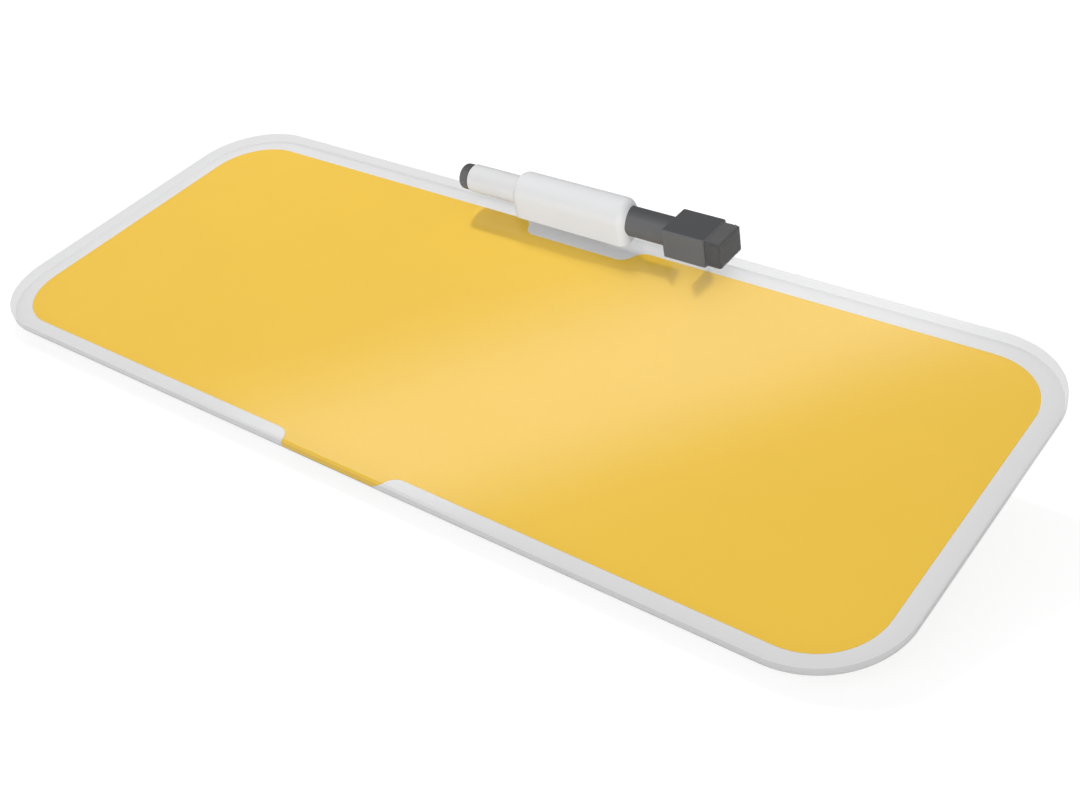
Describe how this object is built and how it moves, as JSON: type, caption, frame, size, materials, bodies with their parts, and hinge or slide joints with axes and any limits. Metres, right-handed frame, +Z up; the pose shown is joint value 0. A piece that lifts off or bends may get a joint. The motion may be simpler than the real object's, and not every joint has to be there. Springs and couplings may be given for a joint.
{
  "type": "desk memo board",
  "caption": "Sloping glass desk memo board on a low moulded stand, with a marker pen and eraser cap held in a sleeve that clips over its back edge.",
  "frame": {"origin": "middle of the bottom of the object's box, on the surface it stands on", "axes": "+X along the board, +Y towards its raised back edge, +Z up"},
  "size_m": [0.38, 0.1482, 0.0602],
  "materials": {
    "clear_glass": "clear float glass, polished edges",
    "border_enamel": "pale grey-white paint printed on the back of the glass",
    "field_enamel": "warm yellow paint printed on the back of the glass",
    "stand_plastic": "fine matt moulded white",
    "cover_plastic": "fine matt moulded white",
    "screw_steel": "plated",
    "foot_rubber": "soft, matt, pale grey",
    "bond_tape": "soft white foam tape",
    "holder_plastic": "satin moulded white",
    "grip_rubber": "soft, matt",
    "barrel_plastic": "satin white",
    "dark_plastic": "satin dark grey",
    "ink_fibre": "ink-soaked fibre",
    "neck_plastic": "moulded pale grey",
    "nib_fibre": "ink-soaked pressed fibre",
    "liner_plastic": "soft moulded",
    "eraser_felt": "dense dark grey felt"
  },
  "bodies": {
    "board": {"glass_plate": "clear_glass", "border_print": "border_enamel", "field_print": "field_enamel", "stand_shell": "stand_plastic", "stand_cover": "cover_plastic", "cover_screws": "screw_steel", "rubber_foot_front_left": "foot_rubber", "rubber_foot_front_right": "foot_rubber", "rubber_foot_rear_left": "foot_rubber", "rubber_foot_rear_right": "foot_rubber", "bond_strip_front": "bond_tape", "bond_strip_rear": "bond_tape", "bond_strip_left": "bond_tape", "bond_strip_right": "bond_tape"},
    "holder": {"pen_holder": "holder_plastic", "grip_pad": "grip_rubber"},
    "pen": {"pen_barrel": "barrel_plastic", "pen_end_plug": "dark_plastic", "ink_reservoir": "ink_fibre", "nib_holder": "neck_plastic", "nib": "nib_fibre"},
    "cap": {"pen_cap": "dark_plastic", "cap_liner": "liner_plastic", "eraser_felt": "eraser_felt", "eraser_bond": "bond_tape"}
  },
  "joints": [
    {"name": "holder_pull", "type": "slide", "parent": "board", "child": "holder", "axis": [0, 0.9681, 0.2504], "range_m": [0, 0.013]},
    {"name": "pen_slide", "type": "slide", "parent": "holder", "child": "pen", "axis": [1, 0, 0], "range_m": [-0.0168, 0.081]},
    {"name": "cap_pull", "type": "slide", "parent": "pen", "child": "cap", "axis": [1, 0, 0], "range_m": [0, 0.031]}
  ]
}
